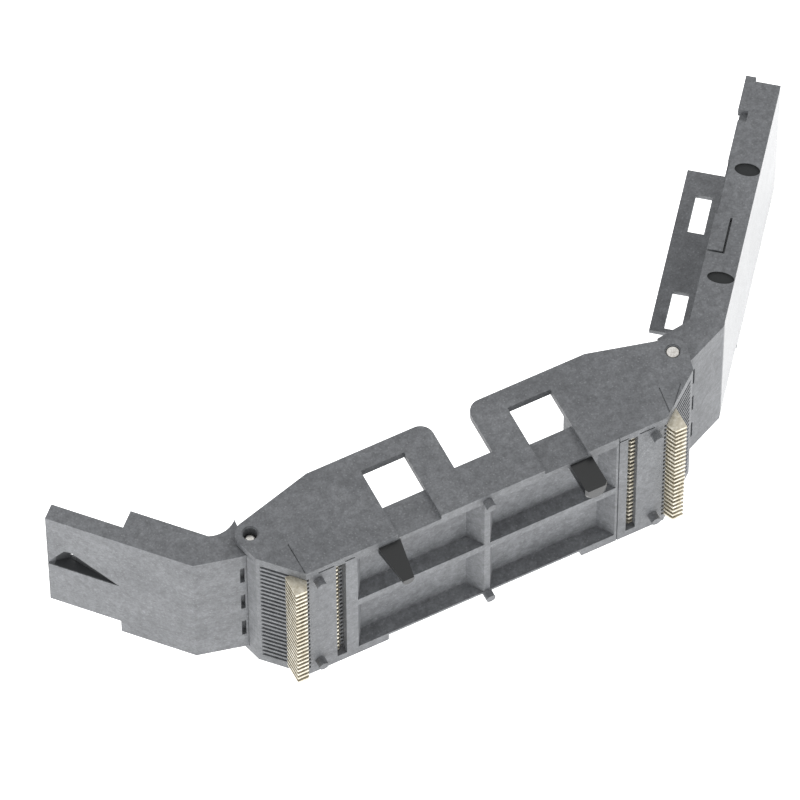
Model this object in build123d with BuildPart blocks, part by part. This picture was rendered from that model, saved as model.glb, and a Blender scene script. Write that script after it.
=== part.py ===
from build123d import *
from math import acos, atan2, cos, degrees, hypot, radians, sin, sqrt
import os

# Surface-mount clamshell socket for a 48-lead thin small-outline package: a narrow base with two rows of
# 24 stamped contacts, and two lids that swing on steel pins at the two ends. Millimetres.
# X runs along the socket, Y from the board face to the side that takes the package, Z along the contact rows.
# The origin is the middle of the board face. The socket is drawn with both lids fully open.

os.makedirs("parts", exist_ok=True)

# Base, outside
hinge_reach = 2.4  # from the foot of each slanted end out to the hinge axis
pin_height = 4.6  # hinge axes above the board face
side_wall = 0.65
wall_height = 7.15  # flat top of the side walls above the board face
hinge_radius = 1.05  # round end of each side wall
slope_run = 5.5  # from a hinge axis to where the wall top turns flat
ear_corner = 1.0
grip_notch_width = 2.9
grip_notch_floor = 3.0
end_lean_top = 0.55  # how far the slanted end reaches outside the hinge axis
end_lean_drop = 1.96  # and how far below it
row_centre = -0.44  # the nest and the contact rows are not quite midway between the hinges
foot_margin = 0.14  # from the contacts' heels to where each slanted end meets the board face

# Windows and outside recesses of the side walls
window_inner = 3.95
window_outer = 7.25
window_low = 2.6
window_high = 5.65
channel_depth = 0.45
flange_recess_left = -8.0
flange_recess_right = 6.9
flange_recess_right_high = 7.15  # above the nest floor, where the flange swings past
flange_recess_depth = 0.65

# Underside
plate_margin = 0.88  # from the pockets to the contacts' openings
pocket_depth = 1.2
pocket_rib = 0.44
pocket_slope = 0.8  # the cross ribs and the pockets' ends widen by this down to the pocket floor
pocket_rib_low = -0.3
pocket_rib_high = 0.4
pocket_upper_wall = 0.95
pocket_lower_wall = 0.87
peg_diameter = 0.7
peg_height = 0.66
peg_inset = 0.9  # from the foot of the slanted end
peg_insets = (1.4, 0.72)  # from the outside of each wall, at the ends and in the middle
post_width = 1.65
post_left_length = 2.9
post_left_taper = 8
post_right_length = 2.4
post_right_tip = 0.35
post_flat_inset = 0.7  # from the outside of the upper wall to the flat side of a post
post_height = 1.4  # from the flat side to the round one
post_left_x = -7.9
post_right_x = 6.7
seam_x = 10.1
slits = ((11.64, 12.82), (10.08, 10.81))  # fine gaps between each comb plate and the upper wall
slit_inset = 0.55
slit_width = 0.14
seam = 0.08  # width and depth of the fine seams and creases
creases = (((-14.25, 2.65), (-14.22, 0.1)), ((13.94, 2.41), (13.68, 0.37)), ((15.4, 2.03), (13.86, 0.33)))

# Package nest
nest_floor = 2.35
ledge_height = 3.7
ledge_width = 2.5
lead_stop = 10.2  # the rows' places all follow from this one
comb_top = 4.55
comb_width = 1.96
valley_top = 2.9
valley_run = 0.25
cradle_radius = 1.2  # room for the hinge knuckles
cradle_start = 244
cradle_end = 305
end_bar_top = (1.366, 233.5)  # radius and angle about the hinge
horn_room = 2.06

# Hinges
pin_diameter = 1.0
pin_length = 12.9
pin_chamfer_left = 0.25
pin_chamfer_right = 0.08
pin_mouth = (0.58, 0.08)  # radius and depth of the countersunk mouth of each pin seat
knuckle_clearance = 0.05  # radial, a running fit
knuckle_radius = 1.05
lid_side_gap = 0.1
pin_sink_left = 0.65  # below the outside of the upper wall
pin_sink_right = 0.1

# Contacts
contact_count = 24
pitch = 0.5
blade = 0.2
blade_gap = 0.04
row_margin = 0.2  # from the last blade of a row to the side wall
strip_width = 0.32
tail_rise = 0.75  # solder feet below the board face
tail_width = 0.85
tail_run = 0.45  # from the heel to the tail
tail_top = 0.9
heel_run = 1.1  # from the outer folds to the heel
back_run = 1.48  # from the inner folds to the outer ones
loop_gap = 0.83  # from the lead stop to the inner folds
knee_gap = 0.4
tip_reach = 0.55  # from the lead stop in to the middle of the tip
tip_height = 4.75
tip_land = 0.3  # flat length under a package lead
fold_one = 1.33  # heights of the two folds and of the arm's knee
fold_two = 2.05
knee_height = 3.3
fold_cut = 0.24
slot_floor = 0.4
opening_outer_gap = 0.49  # room on each side of the inner folds
opening_inner_gap = 0.25
opening_depth = 0.6
groove_top = 2.45
groove_depth = 0.92

# Lids, drawn closed with the hinge axis at the origin and the lid along the first axis
short_lid_length = 13.65
short_lid_top = 3.37
short_lid_bend = 2.87
short_lid_thick = 2.6
short_lid_thin = 1.2
short_lid_step = 8.42
short_lid_near = (0.03, 1.5)
short_lid_open = 132.5
short_lid_root = 2.75
horn_tip = (1.57, -1.08)
horn_back = (1.15, -0.62)
lap_narrowing = 1.35  # the thin end is narrower by this on its lower side
latch_length = 5.3  # the latch recess, from the free end
latch_run = 1.27  # from the free end to its deepest and widest place
latch_low = 0.05
latch_high = 2.32
latch_depth = 0.95
latch_mouth_depth = 0.05
latch_hole = (0.45, 0.85)
long_lid_length = 23.6
long_lid_top = 2.95
long_lid_bend = 3.19
long_lid_rail = 2.4
long_lid_near = (0.26, 1.44)
long_lid_open = 129.1
long_horn_tip = (1.25, -1.33)
long_horn_back = (0.85, -0.85)
stop_notch_length = 1.8
stop_notch_depth = 0.16
stop_notch_width = 1.0
stop_notch_pitch = 3.45
lid_skin = 1.2
rail_width = 0.75
press_bar_near = 6.15
press_bar_far = 6.85
press_bar_drop = 0.32
press_bar_half = 5.0
end_bar = 1.3
flange_thickness = 0.4
flange_gap = 0.2
flange_reach = 6.3
flange_start = 9.5
flange_end = 23.3
flange_window_height = 1.2
flange_window_top = 4.1
flange_window_length = 3.2
flange_windows = (11.45, 19.75)
hook_length = 2.95
hook_overhang = 0.35
hook_height = 0.75
hook_drop = 0.15
hook_slot = 0.85
rail_cut = 0.45  # the rail's notch, slits and step are this deep
clip_start = 9.2
clip_length = 3.0
clip_height = 1.1
clip_slit = 0.16
rail_step = 0.15
rail_step_end = 16.7
gates = ((7.05, 1.95, 0.95, 1.9), (16.2, 2.02, 1.05, 1.8))  # place, then size along and across the rail
gate_depth = 0.15

base_width = (contact_count - 1) * pitch + blade + 2 * (row_margin + side_wall)
comb_outer = lead_stop + comb_width
valley_inner = comb_outer + valley_run
ledge_inner = lead_stop - ledge_width
tip_x = lead_stop - tip_reach
knee_x = lead_stop + knee_gap
loop_x = lead_stop + loop_gap
back_x = loop_x + back_run
heel_x = back_x + heel_run
tail_inner = heel_x + tail_run
tail_outer = tail_inner + tail_width
opening_outer = loop_x + opening_outer_gap
opening_inner = loop_x - opening_inner_gap
plate_inner = opening_inner - plate_margin
foot_x = heel_x + foot_margin
peg_x = foot_x - peg_inset
half_span = foot_x + hinge_reach
half_width = base_width / 2
inner_half = half_width - side_wall
lid_half = inner_half - lid_side_gap
pin_radius = pin_diameter / 2
contact_rows = [(n - (contact_count - 1) / 2) * pitch for n in range(contact_count)]
slot_width = blade + 2 * blade_gap
recess_face = -half_width + flange_recess_depth
post_places = (post_left_x, post_right_x)
post_radius = post_width / 2
post_flat = half_width - post_flat_inset
peg_places = [
    (row_centre + x, side * (half_width - inset))
    for x, inset in ((-peg_x, peg_insets[0]), (0, peg_insets[1]), (peg_x, peg_insets[0]))
    for side in (-1, 1)
]


def polar(radius, angle, centre=(0, 0)):
    """The point at an angle, in degrees, on a circle."""
    return (centre[0] + radius * cos(radians(angle)), centre[1] + radius * sin(radians(angle)))


def tangent_angle(point, centre, radius, side):
    """Where the tangent from a point touches a circle, as an angle; side is 1 or -1."""
    dx = point[0] - centre[0]
    dy = point[1] - centre[1]
    return (degrees(atan2(dy, dx)) + side * degrees(acos(radius / hypot(dx, dy)))) % 360


hinge = (-half_span, pin_height)
lean_top_height = pin_height - end_lean_drop


def arc(radius, start, end, centre=(0, 0)):
    """An arc on a circle from one angle to another."""
    middle = polar(radius, (start + end) / 2, centre)
    ThreePointArc(polar(radius, start, centre), middle, polar(radius, end, centre))


def arc_at_hinge(side, radius, start, end):
    """An arc about the left hinge, or its mirror image about the right one."""
    ThreePointArc(*[at_hinge(side, radius, angle) for angle in (start, (start + end) / 2, end)])


def at_hinge(side, radius, angle):
    """A point about the left hinge when side is -1, or its mirror image about the right one when it is 1."""
    x, y = polar(radius, angle, hinge)
    return (-side * x, y)


def from_rows(side, x, y):
    """A point at a distance from the middle of the contact rows, to the left or to the right."""
    return (row_centre + side * x, y)


def lean_line(side):
    """The foot and the top of a slanted end."""
    return from_rows(side, foot_x, 0), (side * (half_span + end_lean_top), lean_top_height)


def core_outline(side):
    """One side of the core's outline, from the middle of the board face to the middle of the nest floor."""
    valley = (side * (half_span - sqrt(horn_room**2 - (pin_height - valley_top) ** 2)), valley_top)
    Polyline(
        (0, 0),
        *lean_line(side),
        at_hinge(side, *end_bar_top),
        at_hinge(side, cradle_radius, cradle_start),
    )
    arc_at_hinge(side, cradle_radius, cradle_start, cradle_end)
    Polyline(
        at_hinge(side, cradle_radius, cradle_end),
        valley,
        from_rows(side, valley_inner, valley_top),
        from_rows(side, comb_outer, comb_top),
        from_rows(side, lead_stop, comb_top),
        from_rows(side, lead_stop, ledge_height),
        from_rows(side, ledge_inner, ledge_height),
        from_rows(side, ledge_inner, nest_floor),
        (0, nest_floor),
    )


def wall_outline(side):
    """One side of a side wall's outline, from mid board face to the middle of the grip notch."""
    foot, top = lean_line(side)
    low = tangent_angle((-side * top[0], top[1]), hinge, hinge_radius, -1)
    high = tangent_angle((-half_span + slope_run, wall_height), hinge, hinge_radius, 1)
    Polyline((0, 0), foot, top, at_hinge(side, hinge_radius, low))
    arc_at_hinge(side, hinge_radius, low, high)
    Polyline(
        at_hinge(side, hinge_radius, high),
        (side * (half_span - slope_run), wall_height),
        (side * grip_notch_width / 2, wall_height),
        (side * grip_notch_width / 2, grip_notch_floor),
        (0, grip_notch_floor),
    )


def post_outline():
    """The D-shaped section of a locating post, with its flat side on the sketch's own X axis."""
    with Locations((0, post_radius - post_height)):
        Circle(post_radius)
        Rectangle(post_width, post_height - post_radius, align=(Align.CENTER, Align.MIN))
    Rectangle(2 * post_width, post_radius, align=(Align.CENTER, Align.MIN), mode=Mode.SUBTRACT)


def contact_slot(side):
    """The room for one contact, open to the nest, to the slanted end and to the board."""
    foot, top = lean_line(side)
    face_top = side * (foot[0] + (top[0] - foot[0]) * groove_top / top[1] - row_centre)
    points = (
        (face_top + 0.6, groove_top),
        (face_top + 0.6, -1),
        (heel_x - 0.05, -1),
        (heel_x - 0.05, slot_floor),
        (opening_outer, slot_floor),
        (opening_outer, -1),
        (opening_inner, -1),
        (opening_inner, fold_two - 0.3),
        (tip_x - 0.35, fold_two - 0.05),
        (tip_x - 0.35, comb_top + 1),
        (comb_outer - 0.4, comb_top + 1),
        (comb_outer - 0.4, fold_two + 0.65),
        (back_x + 0.25, fold_two + 0.4),
        (heel_x + 0.25, fold_one - 0.25),
        (face_top - groove_depth, groove_top),
    )
    Polyline(*[from_rows(side, *point) for point in points], close=True)


with BuildPart() as base:
    with BuildSketch():
        with BuildLine():
            core_outline(-1)
            core_outline(1)
        make_face()
    extrude(amount=inner_half, both=True)

    # Side walls
    with BuildSketch(Plane.XY.offset(inner_half), Plane.XY.offset(-half_width)):
        with BuildLine():
            wall_outline(-1)
            wall_outline(1)
        make_face()
    extrude(amount=side_wall)
    ears = (
        base.edges()
        .filter_by(Axis.Z)
        .filter_by_position(Axis.Y, wall_height - 0.01, wall_height + 0.01)
        .filter_by_position(Axis.X, -grip_notch_width / 2 - 0.01, grip_notch_width / 2 + 0.01)
    )
    fillet(ears, ear_corner)

    # Windows in the upper wall, each with a channel outside it down to the board face
    window_mid = (window_inner + window_outer) / 2
    window_width = window_outer - window_inner
    with BuildSketch(Plane.XY.offset(inner_half)):
        with Locations((-window_mid, window_low), (window_mid, window_low)):
            Rectangle(window_width, window_high - window_low, align=(Align.CENTER, Align.MIN))
    extrude(amount=side_wall, mode=Mode.SUBTRACT)
    with BuildSketch(Plane.XY.offset(half_width)):
        with Locations((-window_mid, 0), (window_mid, 0)):
            Rectangle(window_width, window_high, align=(Align.CENTER, Align.MIN))
    extrude(amount=-channel_depth, mode=Mode.SUBTRACT)

    # The lower wall stops at the nest floor, where the long lid's flange takes its place
    with BuildSketch(Plane.XY.offset(-half_width)):
        with Locations((flange_recess_left, nest_floor)):
            Rectangle(
                flange_recess_right_high - flange_recess_left,
                wall_height,
                align=(Align.MIN, Align.MIN),
            )
    extrude(amount=side_wall, mode=Mode.SUBTRACT)
    with BuildSketch(Plane.XY.offset(-half_width)):
        with Locations((flange_recess_left, 0)):
            Rectangle(flange_recess_right - flange_recess_left, wall_height, align=(Align.MIN, Align.MIN))
    extrude(amount=flange_recess_depth, mode=Mode.SUBTRACT)

    # Board side: four pockets round a cross of ribs, between the two plates that hold the contacts
    board_side = Plane.XZ
    upper = (pocket_rib_high, half_width - pocket_upper_wall)
    lower = (-half_width + pocket_lower_wall, pocket_rib_low)
    for low, high in (upper, lower):
        with BuildSketch(Plane((row_centre, 0, low))):
            with BuildLine():
                Polyline(
                    (pocket_rib / 2, 0),
                    (pocket_rib / 2 + pocket_slope, pocket_depth),
                    (plate_inner - pocket_slope, pocket_depth),
                    (plate_inner, 0),
                    close=True,
                )
            make_face()
            mirror(about=Plane.YZ)
        extrude(amount=high - low, mode=Mode.SUBTRACT)

    # Stand-off pegs, and two locating posts, off centre so that the socket fits its board one way round
    with BuildSketch(board_side):
        with Locations(*peg_places):
            Circle(peg_diameter / 2)
    extrude(amount=peg_height)
    roots = [Plane((x, pocket_depth, post_flat), x_dir=(1, 0, 0), z_dir=(0, -1, 0)) for x in post_places]
    with BuildSketch(*roots):
        post_outline()
    extrude(amount=pocket_depth)
    with BuildSketch(Plane((post_left_x, 0, post_flat), x_dir=(1, 0, 0), z_dir=(0, -1, 0))):
        post_outline()
    extrude(amount=post_left_length, taper=post_left_taper)
    with BuildSketch(Plane((post_right_x, 0, post_flat), x_dir=(1, 0, 0), z_dir=(0, -1, 0))):
        post_outline()
    extrude(amount=post_right_length)
    right_tip = base.faces().filter_by_position(Axis.Y, -post_right_length - 0.01, -post_right_length + 0.01)
    chamfer(right_tip.edges(), post_right_tip / 2)

    # Contact slots, one for every blade
    with BuildSketch(*[Plane.XY.offset(z) for z in contact_rows]):
        for side in (-1, 1):
            with BuildLine():
                contact_slot(side)
            make_face()
    extrude(amount=slot_width / 2, both=True, mode=Mode.SUBTRACT)
    with BuildSketch(board_side):
        for side in (-1, 1):
            with Locations((row_centre + side * (opening_inner + opening_outer) / 2, 0)):
                Rectangle(opening_outer - opening_inner, 2 * (inner_half - lid_side_gap))
    extrude(amount=-opening_depth, mode=Mode.SUBTRACT)

    # Seats of the hinge pins, right through both walls
    with BuildSketch(Plane.XY.offset(-half_width)):
        with Locations(hinge, (half_span, pin_height)):
            Circle(pin_radius)
    extrude(amount=base_width, mode=Mode.SUBTRACT)
    with BuildSketch(Plane.XY.offset(half_width)):
        with Locations(hinge, (half_span, pin_height)):
            Circle(pin_mouth[0])
    extrude(amount=-pin_mouth[1], mode=Mode.SUBTRACT)

    # A seam across the board face, fine gaps beside the comb plates, and creases in the upper wall
    with BuildSketch(board_side):
        with Locations((row_centre + seam_x, 0)):
            Rectangle(seam, base_width)
    extrude(amount=-seam, mode=Mode.SUBTRACT)
    with BuildSketch(board_side):
        for side in (-1, 1):
            for near, far in slits:
                with Locations((row_centre + side * (near + far) / 2, half_width - slit_inset)):
                    Rectangle(far - near, slit_width)
    extrude(amount=-3 * seam, mode=Mode.SUBTRACT)
    with BuildSketch(Plane.XY.offset(half_width)):
        for low_end, high_end in creases:
            run = hypot(high_end[0] - low_end[0], high_end[1] - low_end[1])
            across = (
                seam / 2 * (low_end[1] - high_end[1]) / run,
                seam / 2 * (high_end[0] - low_end[0]) / run,
            )
            with BuildLine():
                Polyline(
                    (low_end[0] - across[0], low_end[1] - across[1]),
                    (low_end[0] + across[0], low_end[1] + across[1]),
                    (high_end[0] + across[0], high_end[1] + across[1]),
                    (high_end[0] - across[0], high_end[1] - across[1]),
                    close=True,
                )
            make_face()
    extrude(amount=-seam, mode=Mode.SUBTRACT)
base.part.label = "base"
export_step(base.part, "parts/base.step")


def notch_plane(near, bend, top):
    """The plane across a lid's hinge edge, looking along the outer face that rises from it."""
    edge_angle = degrees(atan2(top - near[1], bend - near[0]))
    return Plane(origin=(near[0], near[1], 0), x_dir=(0, 0, 1), z_dir=polar(1, edge_angle) + (0,))


stop_notches = [(n * stop_notch_pitch, 0) for n in (-1, 0, 1)]
latch_start = short_lid_length - latch_length
latch_deep = short_lid_length - latch_run

# Short lid
short_inner = short_lid_top - short_lid_thick
short_thin_face = short_lid_top - short_lid_thin
with BuildPart() as latch_recess:
    with BuildSketch():
        with BuildLine():
            Polyline(
                (latch_start, short_lid_top),
                (latch_deep, short_lid_top - latch_depth),
                (short_lid_length, short_lid_top - latch_mouth_depth),
                (short_lid_length, short_lid_top),
                close=True,
            )
        make_face()
    extrude(amount=lid_half, both=True)
    with BuildSketch(Plane.XZ.offset(-short_lid_top)):
        with BuildLine():
            Polyline(
                (latch_start, latch_low),
                (short_lid_length, latch_low),
                (short_lid_length, latch_low + 0.2),
                (latch_deep, latch_high),
                (latch_deep - 0.5, latch_high + 0.1),
                close=True,
            )
        make_face()
    extrude(amount=short_lid_thin, mode=Mode.INTERSECT)

with BuildPart() as short_lid:
    with BuildSketch():
        with BuildLine():
            start = tangent_angle(short_lid_near, (0, 0), knuckle_radius, 1)
            end = tangent_angle(horn_back, (0, 0), knuckle_radius, -1)
            Polyline(
                polar(knuckle_radius, start),
                short_lid_near,
                (short_lid_bend, short_lid_top),
                (short_lid_length, short_lid_top),
                (short_lid_length, short_thin_face),
                (short_lid_step, short_thin_face),
                (short_lid_step, short_inner),
                (short_lid_root, short_inner),
            )
            ThreePointArc((short_lid_root, short_inner), (1.95, 0.15), horn_tip)
            Polyline(horn_tip, horn_back, polar(knuckle_radius, end))
            arc(knuckle_radius, start, end)
        make_face()
    extrude(amount=lid_half, both=True)

    # Narrower thin end
    with BuildSketch(Plane.XY.offset(-lid_half)):
        with Locations((short_lid_step, short_inner - 1)):
            Rectangle(short_lid_length, short_lid_top, align=(Align.MIN, Align.MIN))
            Rectangle(short_lid_length, short_lid_top + 2, align=(Align.MIN, Align.MIN))
    extrude(amount=lap_narrowing, mode=Mode.SUBTRACT)

    # Inner side: cored on both sides of the bar that presses on the leads
    with BuildSketch():
        with Locations((press_bar_near, short_thin_face)):
            Rectangle(
                press_bar_far - press_bar_near,
                short_thin_face - press_bar_drop,
                align=(Align.MIN, Align.MAX),
            )
    extrude(amount=press_bar_half, both=True)
    core_depth = short_thin_face - short_inner
    with BuildSketch():
        with Locations((short_lid_root + 1.2, short_inner)):
            Rectangle(press_bar_near - short_lid_root - 1.2, core_depth, align=(Align.MIN, Align.MIN))
        with Locations((press_bar_far, short_inner)):
            Rectangle(short_lid_step - 0.6 - press_bar_far, core_depth, align=(Align.MIN, Align.MIN))
    extrude(amount=lid_half - rail_width, both=True, mode=Mode.SUBTRACT)

    # Latch recess with its small hole
    add(latch_recess.part, mode=Mode.SUBTRACT)
    with BuildSketch(Plane.XZ.offset(-short_lid_top)):
        with Locations((latch_deep - latch_hole[0] / 2, latch_low + 0.05)):
            Rectangle(*latch_hole, align=(Align.CENTER, Align.MIN))
    extrude(amount=2 * short_lid_thin, mode=Mode.SUBTRACT)
    with BuildSketch(notch_plane(short_lid_near, short_lid_bend, short_lid_top)):
        with Locations(*stop_notches):
            Rectangle(stop_notch_length, stop_notch_width)
    extrude(amount=stop_notch_depth, both=True, mode=Mode.SUBTRACT)

    # Bore for the hinge pin
    with BuildSketch():
        Circle(pin_radius + knuckle_clearance)
    extrude(amount=lid_half, both=True, mode=Mode.SUBTRACT)

with BuildPart() as door_left:
    add(short_lid.part.rotate(Axis.Z, short_lid_open).moved(Location((*hinge, 0))))
door_left.part.label = "door_left"
export_step(door_left.part, "parts/door_left.step")

# Long lid
long_inner = long_lid_top - long_lid_rail
long_skin_face = long_lid_top - lid_skin
with BuildPart() as long_lid:
    with BuildSketch():
        with BuildLine():
            start = tangent_angle(long_lid_near, (0, 0), knuckle_radius, 1)
            end = tangent_angle(long_horn_back, (0, 0), knuckle_radius, -1)
            Polyline(
                polar(knuckle_radius, start),
                long_lid_near,
                (long_lid_bend, long_lid_top),
                (long_lid_length, long_lid_top),
                (long_lid_length, long_inner),
                (long_lid_bend, long_inner),
                long_horn_tip,
                long_horn_back,
                polar(knuckle_radius, end),
            )
            arc(knuckle_radius, start, end)
        make_face()
    extrude(amount=lid_half, both=True)

    # Inner side: a long core between two rails; the solid part before it presses on the leads
    with BuildSketch():
        with Locations((press_bar_far, long_inner)):
            Rectangle(
                long_lid_length - end_bar - press_bar_far,
                long_skin_face - long_inner,
                align=(Align.MIN, Align.MIN),
            )
    extrude(amount=lid_half - rail_width, both=True, mode=Mode.SUBTRACT)

    # Rails: hooks at the free end, a notch before each, a sprung clip, and a thinner run between
    hook_start = long_lid_length + hook_overhang - hook_length
    rails = (Plane.XY.offset(lid_half - rail_width), Plane.XY.offset(-lid_half))
    with BuildSketch(Plane.XY.offset(lid_half - rail_cut), Plane.XY.offset(-lid_half)):
        with Locations((hook_start - hook_slot, long_inner)):
            Rectangle(hook_slot, hook_height - hook_drop, align=(Align.MIN, Align.MIN))
        with Locations((clip_start - clip_slit, long_inner)):
            Rectangle(clip_slit, clip_height, align=(Align.MIN, Align.MIN))
        with Locations((clip_start - clip_slit, long_inner + clip_height)):
            Rectangle(clip_length, clip_slit, align=(Align.MIN, Align.MIN))
        with Locations((clip_start + clip_length, long_inner)):
            Rectangle(rail_step_end - clip_start - clip_length, rail_step, align=(Align.MIN, Align.MIN))
    extrude(amount=rail_cut, mode=Mode.SUBTRACT)
    with BuildSketch(*rails):
        with Locations((hook_start, long_inner - hook_drop)):
            Rectangle(hook_length, hook_height, align=(Align.MIN, Align.MIN))
    extrude(amount=rail_width)

    # Side flange with two windows, joined to the lid along its outer skin
    flange_face = recess_face - flange_gap
    with BuildSketch(Plane.XY.offset(flange_face - flange_thickness)):
        with Locations((flange_start, long_lid_top)):
            Rectangle(flange_end - flange_start, flange_reach, align=(Align.MIN, Align.MAX))
        for middle in flange_windows:
            with Locations((middle, long_lid_top - flange_window_top)):
                Rectangle(
                    flange_window_length,
                    flange_window_height,
                    align=(Align.CENTER, Align.MAX),
                    mode=Mode.SUBTRACT,
                )
    extrude(amount=flange_thickness)
    with BuildSketch(Plane.XY.offset(flange_face - flange_thickness)):
        with Locations((flange_start, long_lid_top)):
            Rectangle(flange_end - flange_start, lid_skin, align=(Align.MIN, Align.MAX))
    extrude(amount=rail_width + flange_thickness)

    # Gate marks on the upper rail
    with BuildSketch(Plane.XY.offset(lid_half)):
        for along, height, gate_length, gate_width in gates:
            with Locations((along, height)):
                Ellipse(gate_length / 2, gate_width / 2)
    extrude(amount=-gate_depth, mode=Mode.SUBTRACT)
    with BuildSketch(notch_plane(long_lid_near, long_lid_bend, long_lid_top)):
        with Locations(*stop_notches):
            Rectangle(stop_notch_length, stop_notch_width)
    extrude(amount=stop_notch_depth, both=True, mode=Mode.SUBTRACT)

    # Bore for the hinge pin
    with BuildSketch():
        Circle(pin_radius + knuckle_clearance)
    extrude(amount=lid_half, both=True, mode=Mode.SUBTRACT)

long_lid_right = mirror(long_lid.part, about=Plane.YZ)
with BuildPart() as door_right:
    add(long_lid_right.rotate(Axis.Z, -long_lid_open).moved(Location((half_span, pin_height, 0))))
door_right.part.label = "door_right"
export_step(door_right.part, "parts/door_right.step")


# Steel pins, chamfered at both ends, each from a little below the outside of the upper wall
with BuildPart() as hinge_pin_left:
    with BuildSketch(Plane.XY.offset(half_width - pin_sink_left)):
        with Locations(hinge):
            Circle(pin_radius)
    extrude(amount=-pin_length)
    chamfer(hinge_pin_left.edges().filter_by(GeomType.CIRCLE), pin_chamfer_left)
hinge_pin_left.part.label = "hinge_pin_left"
export_step(hinge_pin_left.part, "parts/hinge_pin_left.step")

with BuildPart() as hinge_pin_right:
    with BuildSketch(Plane.XY.offset(half_width - pin_sink_right)):
        with Locations((half_span, pin_height)):
            Circle(pin_radius)
    extrude(amount=-pin_length)
    chamfer(hinge_pin_right.edges().filter_by(GeomType.CIRCLE), pin_chamfer_right)
hinge_pin_right.part.label = "hinge_pin_right"
export_step(hinge_pin_right.part, "parts/hinge_pin_right.step")

# One contact of the right row: a folded spring between the solder foot and the tip under the package lead
beam_height = slot_floor + strip_width / 2
land_height = tip_height - strip_width / 2
spring_line = [
    (heel_x + 0.1, beam_height),
    (loop_x + fold_cut, beam_height),
    (loop_x, beam_height + fold_cut),
    (loop_x, fold_one - fold_cut),
    (loop_x + fold_cut, fold_one),
    (back_x - fold_cut, fold_one),
    (back_x, fold_one + fold_cut),
    (back_x, fold_two - fold_cut),
    (back_x - fold_cut, fold_two),
    (knee_x, knee_height),
    (tip_x + tip_land / 2, land_height),
    (tip_x - tip_land / 2, land_height),
]


def strip_side(points, distance):
    """The line beside a run of straight stretches, at a distance to its left, mitred at the corners."""
    side = []
    for before, point, after in zip([None] + points[:-1], points, points[1:] + [None]):
        ways = []
        for start, end in ((before, point), (point, after)):
            if start is not None and end is not None:
                run = hypot(end[0] - start[0], end[1] - start[1])
                ways.append(((end[0] - start[0]) / run, (end[1] - start[1]) / run))
        first, last = ways[0], ways[-1]
        share = distance / (1 + first[0] * last[0] + first[1] * last[1])
        side.append((point[0] - (first[1] + last[1]) * share, point[1] + (first[0] + last[0]) * share))
    return side


with BuildPart() as contact:
    with BuildSketch():
        with BuildLine():
            left_side = strip_side(spring_line, strip_width / 2)
            right_side = strip_side(spring_line, -strip_width / 2)
            Polyline(*left_side, *reversed(right_side), close=True)
        make_face()
        with BuildLine():
            Polyline(
                (tail_outer, tail_top),
                (tail_outer, -tail_rise),
                (tail_inner, -tail_rise),
                (tail_inner - 0.25, -0.2),
                (heel_x, slot_floor),
                (heel_x, slot_floor + strip_width),
                (heel_x + 0.5, tail_top),
                close=True,
            )
        make_face()
    extrude(amount=blade / 2, both=True)

contact_of_left_row = mirror(contact.part, about=Plane.YZ)
for row, z in enumerate(contact_rows, start=1):
    with BuildPart() as contact_right:
        add(contact.part.moved(Location((row_centre, 0, z))))
    contact_right.part.label = f"contact_right_{row:02d}"
    export_step(contact_right.part, f"parts/contact_right_{row:02d}.step")
    with BuildPart() as contact_left:
        add(contact_of_left_row.moved(Location((row_centre, 0, z))))
    contact_left.part.label = f"contact_left_{row:02d}"
    export_step(contact_left.part, f"parts/contact_left_{row:02d}.step")
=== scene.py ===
import math

import bpy
from mathutils import Matrix, Vector


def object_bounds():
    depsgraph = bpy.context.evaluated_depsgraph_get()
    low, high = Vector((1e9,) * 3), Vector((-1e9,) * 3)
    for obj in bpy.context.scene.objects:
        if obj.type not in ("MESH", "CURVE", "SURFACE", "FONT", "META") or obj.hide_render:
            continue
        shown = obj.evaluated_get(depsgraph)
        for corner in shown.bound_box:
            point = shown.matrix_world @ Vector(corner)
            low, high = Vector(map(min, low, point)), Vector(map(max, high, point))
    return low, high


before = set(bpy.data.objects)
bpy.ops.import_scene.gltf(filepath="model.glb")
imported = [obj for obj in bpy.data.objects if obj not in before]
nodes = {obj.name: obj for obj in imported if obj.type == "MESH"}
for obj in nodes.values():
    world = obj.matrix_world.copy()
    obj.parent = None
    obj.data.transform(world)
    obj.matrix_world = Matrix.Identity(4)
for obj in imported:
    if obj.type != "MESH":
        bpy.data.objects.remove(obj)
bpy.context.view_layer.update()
MM = 0.001

# The part's own sizes, in millimetres and degrees
HALF_SPAN = 16.15  # from the middle to each hinge axis
PIN_HEIGHT = 4.6
LONG_LID_OPEN = 129.1
SHORT_LID_OPEN = 132.5

# Boxes of other finishes and of painted shade, each a low and a high corner; all but the posts' are in a
# lid's closed frame
POLISHED_POSTS_PAINTED_DARK = (
    ((-8.8, -3.0, 4.5), (-7.0, -0.01, 6.1)),
    ((5.8, -3.0, 4.5), (7.6, -0.01, 6.1)),
)
GATE_SCARS_AND_SHADE = (
    ((6.4, 0.9, 5.6), (7.7, 3.0, 5.92)),
    ((15.5, 1.0, 5.6), (16.9, 3.0, 5.92)),
)
POLISHED_PANEL = ((3.6, 2.9, -7.0), (24.0, 3.1, 7.0))
LATCH_RECESS_SHADOW = (((8.2, 2.3, 0.0), (13.2, 3.3, 2.5)),)

# Dark and light flow marks, fibre ends, then grain width and height in millimetres, and roughness
LCP = ("616366", "6E7073", "9C9EA0", 0.16, 0.012, 0.58)


# Materials


def srgb(code):
    """Linear RGBA of an sRGB hex colour."""
    parts = [int(code[i : i + 2], 16) / 255 for i in (0, 2, 4)]
    return tuple(c / 12.92 if c <= 0.04045 else ((c + 0.055) / 1.055) ** 2.4 for c in parts) + (1.0,)


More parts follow.
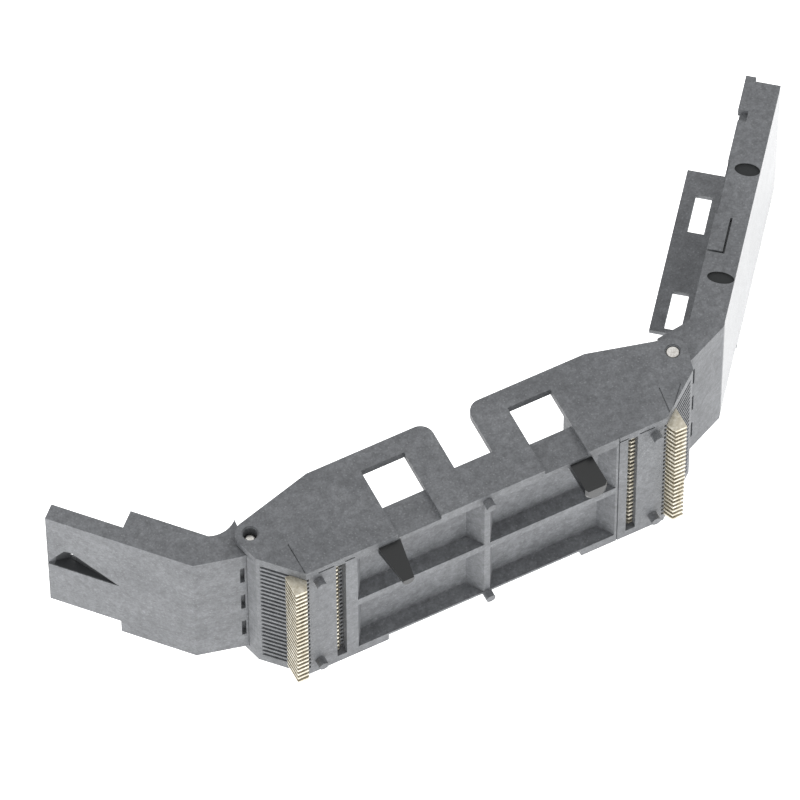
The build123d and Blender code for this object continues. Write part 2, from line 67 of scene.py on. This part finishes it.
def put(tree, kind, links=None, **settings):
    """Adds one node; settings go on its sockets or properties, links join outputs to its sockets."""
    node = tree.nodes.new(kind)
    for name, value in settings.items():
        socket = node.inputs.get(name.replace("_", " "))
        if socket is not None and not hasattr(node, name):
            socket.default_value = value
        else:
            setattr(node, name, value)
    for name, output in (links or {}).items():
        tree.links.new(output, node.inputs[name])
    return node


def start(name):
    """A fresh material, its shader and the object coordinates."""
    material = bpy.data.materials.new(name)
    material.use_nodes = True
    tree = material.node_tree
    shader = tree.nodes["Principled BSDF"]
    place = put(tree, "ShaderNodeTexCoord").outputs["Object"]
    return material, tree, shader, place


def lid_frame(tree, place, side, degrees_open):
    """Object coordinates in a lid's own closed frame: from its hinge along the lid, up, and along Z."""
    turned = put(tree, "ShaderNodeMapping", {"Vector": place}, vector_type="TEXTURE")
    turned.inputs["Location"].default_value = (side * HALF_SPAN * MM, PIN_HEIGHT * MM, 0.0)
    turned.inputs["Rotation"].default_value = (0.0, 0.0, -side * math.radians(degrees_open))
    turned.inputs["Scale"].default_value = (-side * 1.0, 1.0, 1.0)
    return turned.outputs["Vector"]


def in_box(tree, place, low, high, edge_mm=0.02):
    """1 inside a box given in millimetres, 0 outside, with a narrow soft edge."""
    middle = tuple((a + b) / 2 * MM for a, b in zip(low, high))
    half = tuple((b - a) / 2 * MM for a, b in zip(low, high))
    offset = put(tree, "ShaderNodeVectorMath", operation="SUBTRACT")
    tree.links.new(place, offset.inputs[0])
    offset.inputs[1].default_value = middle
    size = put(tree, "ShaderNodeVectorMath", operation="ABSOLUTE")
    tree.links.new(offset.outputs[0], size.inputs[0])
    room = put(tree, "ShaderNodeVectorMath", operation="SUBTRACT")
    room.inputs[0].default_value = half
    tree.links.new(size.outputs[0], room.inputs[1])
    axes = put(tree, "ShaderNodeSeparateXYZ", {"Vector": room.outputs[0]})
    least = axes.outputs[0]
    for axis in (1, 2):
        lower = put(tree, "ShaderNodeMath", operation="MINIMUM")
        tree.links.new(least, lower.inputs[0])
        tree.links.new(axes.outputs[axis], lower.inputs[1])
        least = lower.outputs[0]
    share = put(tree, "ShaderNodeMapRange", {"Value": least})
    share.inputs["From Min"].default_value = -edge_mm * MM
    share.inputs["From Max"].default_value = edge_mm * MM
    return share.outputs["Result"]


def lay_over(tree, shader, share, roughness, colour=None):
    """Where share is 1, another roughness, and a colour if one is given, take over."""
    for socket, value, blend in (("Base Color", colour, "RGBA"), ("Roughness", roughness, "FLOAT")):
        if value is None:
            continue
        target = shader.inputs[socket]
        mix = put(tree, "ShaderNodeMix", {}, data_type=blend)
        first, second, result = (6, 7, 2) if blend == "RGBA" else (2, 3, 0)
        tree.links.new(share, mix.inputs[0])
        if target.is_linked:
            tree.links.new(target.links[0].from_socket, mix.inputs[first])
        else:
            mix.inputs[first].default_value = target.default_value
        mix.inputs[second].default_value = value
        tree.links.new(mix.outputs[result], target)


def polymer(name, dark, light, speck, grain_mm, grain_height, roughness):
    """Glass-filled liquid crystal polymer: a matt grey skin with short fibres that catch the light."""
    material, tree, shader, place = start(name)
    # Slow flow marks left by the melt, a few millimetres long
    slow = 1 / (4.0 * MM)
    flow = put(tree, "ShaderNodeTexNoise", {"Vector": place}, Scale=slow, Detail=4.0, Roughness=0.6)
    tone = put(tree, "ShaderNodeValToRGB", {"Fac": flow.outputs["Fac"]})
    tone.color_ramp.elements[0].position = 0.36
    tone.color_ramp.elements[0].color = srgb(dark)
    tone.color_ramp.elements[1].position = 0.66
    tone.color_ramp.elements[1].color = srgb(light)
    # Spark-eroded grain
    fine = 1 / (grain_mm * MM)
    grain = put(tree, "ShaderNodeTexNoise", {"Vector": place}, Scale=fine, Detail=3.0, Roughness=0.65)
    mottle = put(tree, "ShaderNodeMapRange", {"Value": grain.outputs["Fac"]})
    mottle.inputs["From Min"].default_value = 0.32
    mottle.inputs["From Max"].default_value = 0.68
    mottle.inputs["To Min"].default_value = 0.8
    mottle.inputs["To Max"].default_value = 1.2
    shaded = put(tree, "ShaderNodeMix", {}, data_type="RGBA", blend_type="MULTIPLY")
    shaded.inputs[0].default_value = 1.0
    tree.links.new(tone.outputs["Color"], shaded.inputs[6])
    tree.links.new(mottle.outputs["Result"], shaded.inputs[7])
    # Darker and paler patches where fibres crowd together, about half a millimetre across
    patches = put(tree, "ShaderNodeTexNoise", {"Vector": place}, Scale=1 / (0.5 * MM), Detail=2.0)
    crowd = put(tree, "ShaderNodeMapRange", {"Value": patches.outputs["Fac"]})
    crowd.inputs["From Min"].default_value = 0.3
    crowd.inputs["From Max"].default_value = 0.7
    crowd.inputs["To Min"].default_value = 0.84
    crowd.inputs["To Max"].default_value = 1.16
    patched = put(tree, "ShaderNodeMix", {}, data_type="RGBA", blend_type="MULTIPLY")
    patched.inputs[0].default_value = 1.0
    tree.links.new(shaded.outputs[2], patched.inputs[6])
    tree.links.new(crowd.outputs["Result"], patched.inputs[7])
    # Pale fibre ends, drawn about three times as coarse as real ones so that they show
    fibres = put(tree, "ShaderNodeTexVoronoi", {"Vector": place}, Scale=1 / (0.3 * MM), Randomness=1.0)
    ends = put(tree, "ShaderNodeMapRange", {"Value": fibres.outputs["Distance"]})
    ends.inputs["From Min"].default_value = 0.1
    ends.inputs["From Max"].default_value = 0.24
    ends.inputs["To Min"].default_value = 0.3
    ends.inputs["To Max"].default_value = 0.0
    coloured = put(tree, "ShaderNodeMix", {}, data_type="RGBA")
    tree.links.new(ends.outputs["Result"], coloured.inputs[0])
    tree.links.new(patched.outputs[2], coloured.inputs[6])
    coloured.inputs[7].default_value = srgb(speck)
    tree.links.new(coloured.outputs[2], shader.inputs["Base Color"])
    shader.inputs["Roughness"].default_value = roughness
    shader.inputs["IOR"].default_value = 1.55
    bump = put(tree, "ShaderNodeBump", {"Height": grain.outputs["Fac"]}, Strength=1.0)
    bump.inputs["Distance"].default_value = grain_height * MM
    tree.links.new(bump.outputs["Normal"], shader.inputs["Normal"])
    return material, tree, shader, place


def bright_metal(name, light, dark, roughness, streak_mm, height):
    """Plated or ground metal: bright, with fine marks along Z from rolling or grinding."""
    material, tree, shader, place = start(name)
    stretch = put(tree, "ShaderNodeMapping", {"Vector": place}, Scale=(1.0, 1.0, 0.15))
    along_z = {"Vector": stretch.outputs["Vector"]}
    marks = put(tree, "ShaderNodeTexNoise", along_z, Scale=1 / (streak_mm * MM), Detail=4.0)
    tone = put(tree, "ShaderNodeValToRGB", {"Fac": marks.outputs["Fac"]})
    tone.color_ramp.elements[0].position = 0.35
    tone.color_ramp.elements[0].color = srgb(dark)
    tone.color_ramp.elements[1].position = 0.65
    tone.color_ramp.elements[1].color = srgb(light)
    tree.links.new(tone.outputs["Color"], shader.inputs["Base Color"])
    shader.inputs["Metallic"].default_value = 1.0
    shader.inputs["Roughness"].default_value = roughness
    bump = put(tree, "ShaderNodeBump", {"Height": marks.outputs["Fac"]}, Strength=1.0)
    bump.inputs["Distance"].default_value = height * MM
    tree.links.new(bump.outputs["Normal"], shader.inputs["Normal"])
    return material


def base_polymer():
    """The base: grained walls, and smooth locating posts from a polished part of the mould, their colour
    darkened to near-black as painted shade.
    """
    material, tree, shader, place = polymer("spark_grained_lcp", *LCP)
    for low, high in POLISHED_POSTS_PAINTED_DARK:
        # Posts: a lower roughness for the polish, and a near-black colour that is painted shade
        lay_over(tree, shader, in_box(tree, place, low, high), 0.3, srgb("101213"))
    return material


def long_lid_polymer():
    """The long lid: a polished outer panel that mirrors the lit table, and rough gate marks painted dark
    as the shade in their pits.
    """
    material, tree, shader, place = polymer("long_lid_lcp", *LCP)
    local = lid_frame(tree, place, 1, LONG_LID_OPEN)
    for low, high in GATE_SCARS_AND_SHADE:
        # Gate vestiges: rough, with a dark colour that is painted shade in their pits
        lay_over(tree, shader, in_box(tree, local, low, high), 0.9, srgb("2A2C2D"))
    lay_over(tree, shader, in_box(tree, local, *POLISHED_PANEL), 0.28)
    return material


def short_lid_polymer():
    """The short lid: the floor of its latch recess is smoother, and painted darker as the shadow inside
    the recess.
    """
    material, tree, shader, place = polymer("short_lid_lcp", *LCP)
    local = lid_frame(tree, place, -1, SHORT_LID_OPEN)
    for low, high in LATCH_RECESS_SHADOW:
        # Latch recess floor: smoother, with a darker colour that is painted shadow
        lay_over(tree, shader, in_box(tree, local, low, high), 0.5, srgb("3A3C3E"))
    return material


tin_plate = bright_metal("satin_tin_plate", "DDD8CA", "BDB6A4", 0.5, 0.3, 0.004)
ground_steel = bright_metal("ground_steel", "E2E0DC", "BDBAB4", 0.22, 0.15, 0.003)
finishes = {"base": base_polymer(), "door_left": short_lid_polymer(), "door_right": long_lid_polymer()}

for name, node in nodes.items():
    if name.startswith("contact"):
        finish = tin_plate
    elif name.startswith("hinge_pin"):
        finish = ground_steel
    else:
        finish = finishes[name]
    for material_slot in node.material_slots:
        material_slot.material = finish


# Floor, light and camera


def studio():
    """A lit white table under a softer white sky: the photograph's background is overexposed."""
    low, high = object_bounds()
    bpy.ops.object.select_all(action="DESELECT")
    bpy.ops.mesh.primitive_plane_add(size=4.0, location=(0, 0, low.z))
    floor = bpy.context.object
    floor.name = "table_top"
    material, tree, shader, place = start("white_table")
    shader.inputs["Base Color"].default_value = srgb("E6E6E6")
    shader.inputs["Emission Color"].default_value = srgb("FFFFFF")
    shader.inputs["Emission Strength"].default_value = 1.4
    shader.inputs["Roughness"].default_value = 0.9
    shader.inputs["Specular IOR Level"].default_value = 0.0
    floor.data.materials.append(material)
    world = bpy.data.worlds.new("white_sky")
    bpy.context.scene.world = world
    world.use_nodes = True
    world.node_tree.nodes["Background"].inputs["Color"].default_value = (1.0, 1.0, 1.0, 1.0)
    world.node_tree.nodes["Background"].inputs["Strength"].default_value = 1.0


def photo_camera(azimuth, elevation, focal, shift_x, shift_y, distance, roll):
    """The photograph's camera: angles in degrees, focal length in pixels, the rest in millimetres."""
    a, e, t = (math.radians(v) for v in (azimuth, elevation, roll))
    back = Vector((math.sin(a) * math.cos(e), -math.cos(a) * math.cos(e), math.sin(e)))
    right = Vector((math.cos(a), math.sin(a), 0.0))
    up = back.cross(right)
    right, up = math.cos(t) * right + math.sin(t) * up, -math.sin(t) * right + math.cos(t) * up
    data = bpy.data.cameras.new("photo_camera")
    data.sensor_width = 36.0
    data.lens = focal * 36.0 / 800
    data.clip_start = 0.01
    data.clip_end = 20.0
    camera = bpy.data.objects.new("photo_camera", data)
    bpy.context.collection.objects.link(camera)
    centre = back * distance + right * shift_x + up * shift_y + Vector((0, PIN_HEIGHT, 0))
    camera.matrix_world = Matrix.Translation(centre * MM) @ Matrix((right, up, back)).transposed().to_4x4()
    bpy.context.scene.camera = camera


studio()
photo_camera(-26.423, 57.933, 9048.1, -4.297, 6.399, 621.8, -0.385)

scene = bpy.context.scene
scene.view_settings.view_transform = "Standard"
scene.view_settings.look = "None"
